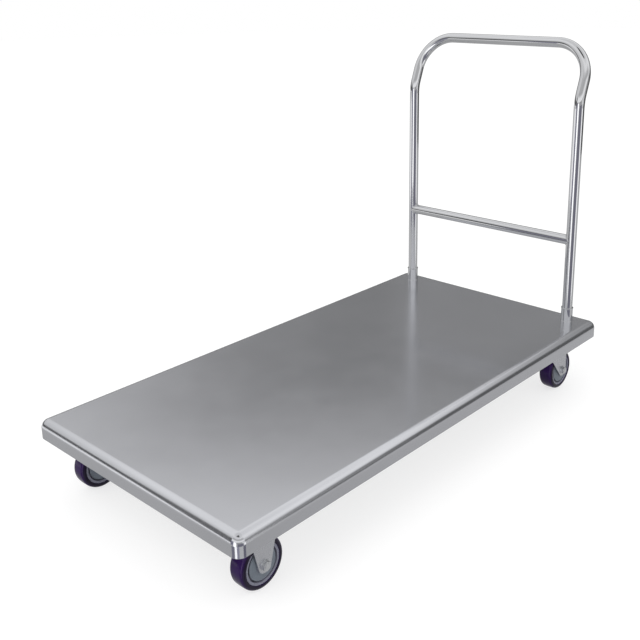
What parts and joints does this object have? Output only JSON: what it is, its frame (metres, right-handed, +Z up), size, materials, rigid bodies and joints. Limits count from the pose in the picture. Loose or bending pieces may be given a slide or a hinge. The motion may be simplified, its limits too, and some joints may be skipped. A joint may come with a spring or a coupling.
{
  "type": "flat platform truck",
  "caption": "Low platform truck with a folded, rolled-edge sheet deck on rigid and swivel casters and a lift-out tubular push handle with a crossbar.",
  "frame": {"origin": "bottom centre of the whole truck's box, on the floor", "axes": "+Z up; +Y along the deck towards the push handle; +X to the left of the person who pushes from the +Y end"},
  "size_m": [0.6096, 1.234, 0.8651],
  "materials": {
    "deck_steel": "satin rolled stainless sheet",
    "frame_steel": "mill finish stainless sheet",
    "tube_steel": "polished stainless tube",
    "caster_steel": "satin stainless pressing",
    "fastener_steel": "bright stainless fastener",
    "bearing_steel": "ground bearing steel",
    "polyurethane": "glossy dark purple polyurethane",
    "wheel_plastic": "moulded grey nylon",
    "guard_plastic": "moulded grey plastic",
    "black_plastic": "moulded black plastic"
  },
  "bodies": {
    "deck": {"deck_pan": "deck_steel", "front_cross_channel": "frame_steel", "rear_cross_channel": "frame_steel", "centre_cross_channel": "frame_steel", "left_stringer": "frame_steel", "right_stringer": "frame_steel", "left_handle_socket": "tube_steel", "right_handle_socket": "tube_steel", "socket_brackets": "frame_steel", "socket_stop_pins": "fastener_steel", "caster_mounting_bolts": "fastener_steel", "caster_mounting_washers": "fastener_steel", "caster_mounting_nuts": "fastener_steel", "front_axle_bolts": "fastener_steel", "front_axle_nuts": "fastener_steel", "front_axle_bushings": "fastener_steel", "front_left_plate": "caster_steel", "front_left_fork": "caster_steel", "rear_left_plate": "caster_steel", "rear_left_upper_race": "caster_steel", "rear_left_bearing_balls": "bearing_steel", "rear_left_kingpin": "fastener_steel", "rear_left_kingpin_nut": "fastener_steel", "front_right_plate": "caster_steel", "front_right_fork": "caster_steel", "rear_right_plate": "caster_steel", "rear_right_upper_race": "caster_steel", "rear_right_bearing_balls": "bearing_steel", "rear_right_kingpin": "fastener_steel", "rear_right_kingpin_nut": "fastener_steel"},
    "handle": {"handle_tube": "tube_steel", "handle_crossbar": "tube_steel", "post_plugs": "black_plastic"},
    "rear_left_swivel": {"rear_left_fork": "caster_steel", "rear_left_axle_bolt": "fastener_steel", "rear_left_axle_nut": "fastener_steel", "rear_left_axle_bushing": "fastener_steel"},
    "front_left_wheel": {"front_left_tyre": "polyurethane", "front_left_wheel_core": "wheel_plastic", "front_left_thread_guards": "guard_plastic", "front_left_wheel_bearings": "bearing_steel"},
    "rear_left_wheel": {"rear_left_tyre": "polyurethane", "rear_left_wheel_core": "wheel_plastic", "rear_left_thread_guards": "guard_plastic", "rear_left_wheel_bearings": "bearing_steel"},
    "rear_right_swivel": {"rear_right_fork": "caster_steel", "rear_right_axle_bolt": "fastener_steel", "rear_right_axle_nut": "fastener_steel", "rear_right_axle_bushing": "fastener_steel"},
    "front_right_wheel": {"front_right_tyre": "polyurethane", "front_right_wheel_core": "wheel_plastic", "front_right_thread_guards": "guard_plastic", "front_right_wheel_bearings": "bearing_steel"},
    "rear_right_wheel": {"rear_right_tyre": "polyurethane", "rear_right_wheel_core": "wheel_plastic", "rear_right_thread_guards": "guard_plastic", "rear_right_wheel_bearings": "bearing_steel"}
  },
  "joints": [
    {"name": "front_left_wheel_spin", "type": "hinge", "parent": "deck", "child": "front_left_wheel", "pos_m": [0.2428, -0.52382, 0.05], "axis": [1, 0, 0], "continuous": true},
    {"name": "front_right_wheel_spin", "type": "hinge", "parent": "deck", "child": "front_right_wheel", "pos_m": [-0.2428, -0.52382, 0.05], "axis": [1, 0, 0], "continuous": true},
    {"name": "rear_left_swivel", "type": "hinge", "parent": "deck", "child": "rear_left_swivel", "pos_m": [0.2428, 0.47268, 0.111], "axis": [0, 0, 1], "continuous": true},
    {"name": "rear_left_wheel_spin", "type": "hinge", "parent": "rear_left_swivel", "child": "rear_left_wheel", "pos_m": [0.2428, 0.50898, 0.05], "axis": [1, 0, 0], "continuous": true},
    {"name": "rear_right_swivel", "type": "hinge", "parent": "deck", "child": "rear_right_swivel", "pos_m": [-0.2428, 0.47268, 0.111], "axis": [0, 0, 1], "continuous": true},
    {"name": "rear_right_wheel_spin", "type": "hinge", "parent": "rear_right_swivel", "child": "rear_right_wheel", "pos_m": [-0.2428, 0.50898, 0.05], "axis": [1, 0, 0], "continuous": true},
    {"name": "handle_lift", "type": "slide", "parent": "deck", "child": "handle", "axis": [0, 0, 1], "range_m": [0, 0.065]}
  ]
}
